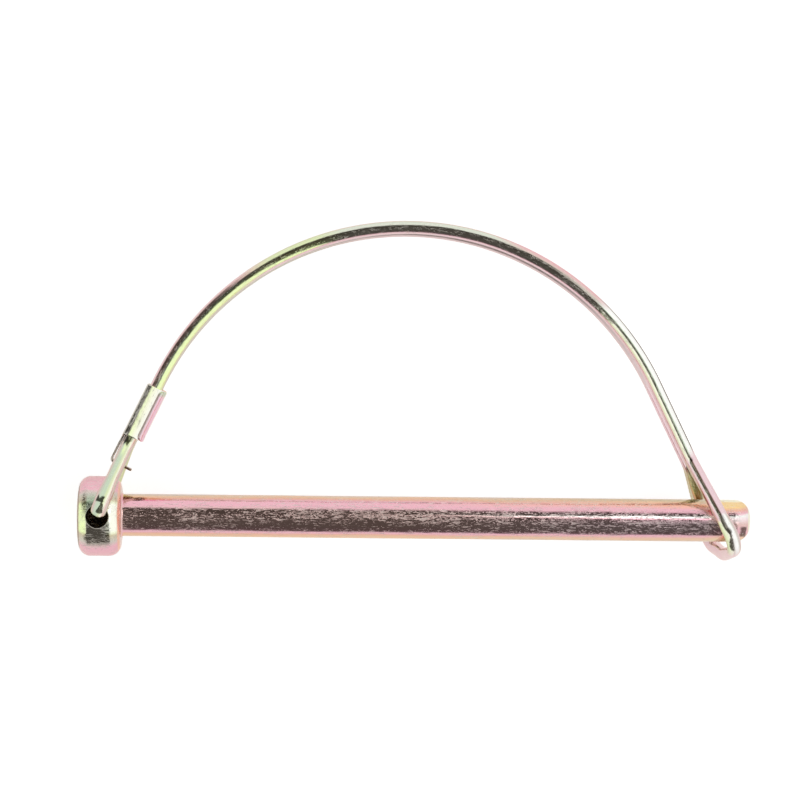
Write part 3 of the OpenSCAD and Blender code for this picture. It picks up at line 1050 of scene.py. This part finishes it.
def clip_tint(g, surface, drift):
    """White to yellow-green over the crown, grey on the wall beside it, straw at the back
    and pink on the lap; the tongue, between the runs, is painted dark as shade."""
    up, across, _ = g.parts(surface)
    shifted = g.drifted(across, drift, 0.08)
    on_lap = (LAP_START - 1.0, LAP_START)
    crown = g.ramp(g.drifted(g.span(across, *CROWN_SPAN, smooth=False), drift, 0.1), CROWN)
    tint = g.mix(g.span(shifted, CROWN_END - 0.15, CROWN_END + 0.15), crown, CLIP_GREY)
    tint = g.mix(g.span(shifted, BACK_START - 1.0, BACK_START + 1.0), tint, STRAW)
    lap = g.mix(g.span(drift, -0.6, 0.9), CLIP_PINK, LILAC)
    tint = g.mix(g.span(shifted, *on_lap), tint, lap)
    dull = g.times(g.span(up, DULL_FROM - 0.5, DULL_FROM + 0.3), g.span(shifted, *on_lap, 0.0, 0.9))
    tint = g.mix(dull, tint, SAGE)
    # Painted shade on the tongue, which hangs between the runs.
    return g.mix(g.span(up, TONGUE_FROM + 0.3, TONGUE_FROM - 0.3), tint, UMBER)


def clip_wear(g, surface):
    """The wall between the crown and the back is the most scratched; the free edge is rubbed."""
    up, across, _ = g.parts(surface)
    worn = g.span(up, *WALL_WEAR)
    wall = g.times(g.span(across, CROWN_END - 0.2, CROWN_END + 0.1), worn)
    past = g.times(g.span(across, BACK_START, BACK_START + 1.0), worn)
    more = g.minus(g.minus(wall, past), CLIP_LESS_WEAR)
    return more, g.span(across, LAP_EDGE, LAP_EDGE + 0.1, 0.0, 0.9)


# ------------------------------------------------------------------------------ studio
CAMERA_AT = (41.45, 35.66, 630.0)
LOOKS_AT = (41.62, 17.65, 0.0)
PHOTO_ROLL = 0.0098
FRAME_PX = 800
PX_PER_MM = 1 / 0.15
SENSOR = 36.0
SEEN_FROM, SEEN_TO = 50.0, 10000.0
FLOOR_HALF = 1500.0
FLOOR_PAPER = (236, 236, 236)
FLOOR_GLOW = 0.62
FLOOR_GLOW_MIRRORED = 0.42
SOFTBOX_AT = (203.0, 179.0, 500.0)
SOFTBOX_SIZE = (300.0, 139.0)
SOFTBOX_TURN = 35.0
SOFTBOX_WATTS = 0.21
SPILL_AT = (225.0, -80.0, 500.0)
SPILL_SIZE = (240.0, 140.0)
SPILL_TURN = 0.0
SPILL_WATTS = 0.027

# The tent's dark openings. One is overhead, with the angle from overhead at which it ends;
# the sectors reach out from there, each with the bearing of its middle, half its width, the
# angle from overhead to which it reaches and how soft it is; and one in front reaches down to
# the table, between limits along x and y, and below the two lines y = -slope x.
TENT_WHITE = (255, 255, 255)
OPENING_OVERHEAD = (80, 78, 74)
OPENING_FRONT = (89, 87, 84)
OVERHEAD_END = (6.0, 12.0)
SECTORS = ((95, 42, 44, 6), (147, 15, 88, 6), (36, 24, 17, 3), (216, 24, 17, 3))
FRONT_SIDES = ((-0.71, -0.62), (0.24, 0.32))
FRONT_START = (0.0, -0.08)
FRONT_END = (80.0, 92.0)
FRONT_SLOPES = (0.9, -0.98)
FRONT_SLOPE_SOFT = (0.0, -0.06)
FRONT_COLOUR_FROM = (12.0, 18.0)
LEAST_LEVEL = 1e-4


def softbox(name, place, size, turn, watts, lit):
    """A small soft light overhead that lights one object only."""
    data = bpy.data.lights.new(name, "AREA")
    data.shape = "RECTANGLE"
    data.size, data.size_y = (v * MM for v in size)
    data.energy = watts
    light = bpy.data.objects.new(name, data)
    light.location = Vector(place) * MM
    light.rotation_euler = (0, 0, math.radians(turn))
    bpy.context.collection.objects.link(light)
    receivers = bpy.data.collections.new(name + "_receivers")
    receivers.objects.link(lit)
    light.light_linking.receiver_collection = receivers


def studio_world():
    """A white tent with dark openings, of which the camera itself sees only white."""
    world = bpy.data.worlds.new("studio_tent")
    world.use_nodes = True
    g = Graph(world.node_tree)
    x, y, z = g.parts(g.node("TexCoord").outputs["Generated"])
    slant = g.times(g.math("ARCCOSINE", z), 180 / math.pi)
    level = g.larger(g.math("SQRT", g.minus(1.0, g.times(z, z))), LEAST_LEVEL)

    def sector(middle, half, reach, soft):
        """Dark from overhead out to an angle, within half a width of a bearing."""
        side = along(middle)
        facing = g.math("DIVIDE", g.plus(g.times(x, side.x), g.times(y, side.y)), level)
        edge = (math.cos(math.radians(a)) for a in (half + soft, max(0.0, half - soft)))
        return g.times(g.span(facing, *edge), g.span(slant, reach - soft, reach + soft, 1.0, 0.0))

    front = g.times(
        g.band(x, *FRONT_SIDES),
        g.times(g.span(y, *FRONT_START), g.span(slant, *FRONT_END, 1.0, 0.0)),
    )
    for slope in FRONT_SLOPES:
        front = g.times(front, g.span(g.plus(y, g.times(x, slope)), *FRONT_SLOPE_SOFT))
    dark = g.larger(front, g.span(slant, *OVERHEAD_END, 1.0, 0.0))
    for opening in SECTORS:
        dark = g.larger(dark, sector(*opening))
    in_front = g.times(front, g.span(slant, *FRONT_COLOUR_FROM))
    colour = g.mix(dark, TENT_WHITE, g.mix(in_front, OPENING_OVERHEAD, OPENING_FRONT))
    colour = g.mix(g.node("LightPath").outputs["Is Camera Ray"], colour, TENT_WHITE)
    g.node("OutputWorld", (g.node("Background", (colour, 1.0)).outputs[0],))
    bpy.context.scene.world = world


def studio_floor(height):
    """A pale table at that height, in metres. It glows a little to the camera and in the
    metal, so that it looks white."""
    mesh = bpy.data.meshes.new("floor")
    h = FLOOR_HALF * MM
    corners = [(-h, -h, height), (h, -h, height), (h, h, height), (-h, h, height)]
    mesh.from_pydata(corners, [], [(0, 1, 2, 3)])
    floor = bpy.data.objects.new("floor", mesh)
    bpy.context.collection.objects.link(floor)
    material = bpy.data.materials.new("white_sweep")
    material.use_nodes = True
    g = Graph(material.node_tree)
    path = g.node("LightPath").outputs
    seen = g.times(path["Is Camera Ray"], FLOOR_GLOW)
    mirrored = g.larger(path["Is Glossy Ray"], path["Is Transmission Ray"])
    level = g.plus(seen, g.times(mirrored, FLOOR_GLOW_MIRRORED))
    paper = g.node("BsdfDiffuse", (linear(FLOOR_PAPER),))
    glow = g.node("Emission", (linear(TENT_WHITE), level))
    both = g.node("AddShader", (paper.outputs[0], glow.outputs[0]))
    g.node("OutputMaterial", (both.outputs[0],))
    mesh.materials.append(material)


def photo_camera():
    """The photo's camera, with the photo's scale at the pin and its slight roll."""
    data = bpy.data.cameras.new("camera")
    camera = bpy.data.objects.new("camera", data)
    bpy.context.collection.objects.link(camera)
    place, target = Vector(CAMERA_AT) * MM, Vector(LOOKS_AT) * MM
    back = (place - target).normalized()
    right = Vector((-PHOTO_ROLL, 1.0, 0.0)).cross(back).normalized()
    turn = camera.matrix_world.to_3x3()
    for i, axis in enumerate((right, back.cross(right), back)):
        turn.col[i] = axis
    camera.matrix_world = turn.to_4x4()
    camera.location = place
    data.sensor_width = SENSOR
    data.lens = SENSOR * PX_PER_MM * (place - target).length / MM / FRAME_PX
    data.clip_start, data.clip_end = SEEN_FROM * MM, SEEN_TO * MM
    bpy.context.scene.camera = camera
    bpy.context.scene.view_settings.view_transform = "Standard"


# -------------------------------------------------------------------------------- build
def dress(piece, node, finish):
    """Puts a piece and its material in the place of a CAD node that rides on the bail."""
    piece.data.materials.append(finish)
    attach(piece, "bail")
    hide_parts(node)


dress(
    wire_mesh("bail_wire"),
    "bail",
    plated("zinc_wire", wire_surface, wire_tint, wire_wear, scratch_share=0.5, dullness=0.055),
)
dress(
    clip_sheet_mesh("clip_sheet"),
    "clip",
    plated("zinc_clip", clip_surface, clip_tint, clip_wear, scratch_share=0.7, dullness=0.06),
)
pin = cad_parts["pin"]
for slot in pin.material_slots:
    slot.material = plated("zinc_pin", pin_surface, pin_tint, pin_wear)

studio_world()
softbox("softbox", SOFTBOX_AT, SOFTBOX_SIZE, SOFTBOX_TURN, SOFTBOX_WATTS, pin)
softbox("softbox_spill", SPILL_AT, SPILL_SIZE, SPILL_TURN, SPILL_WATTS, pin)
studio_floor(cad_box[0][2])
photo_camera()

bpy.context.view_layer.update()
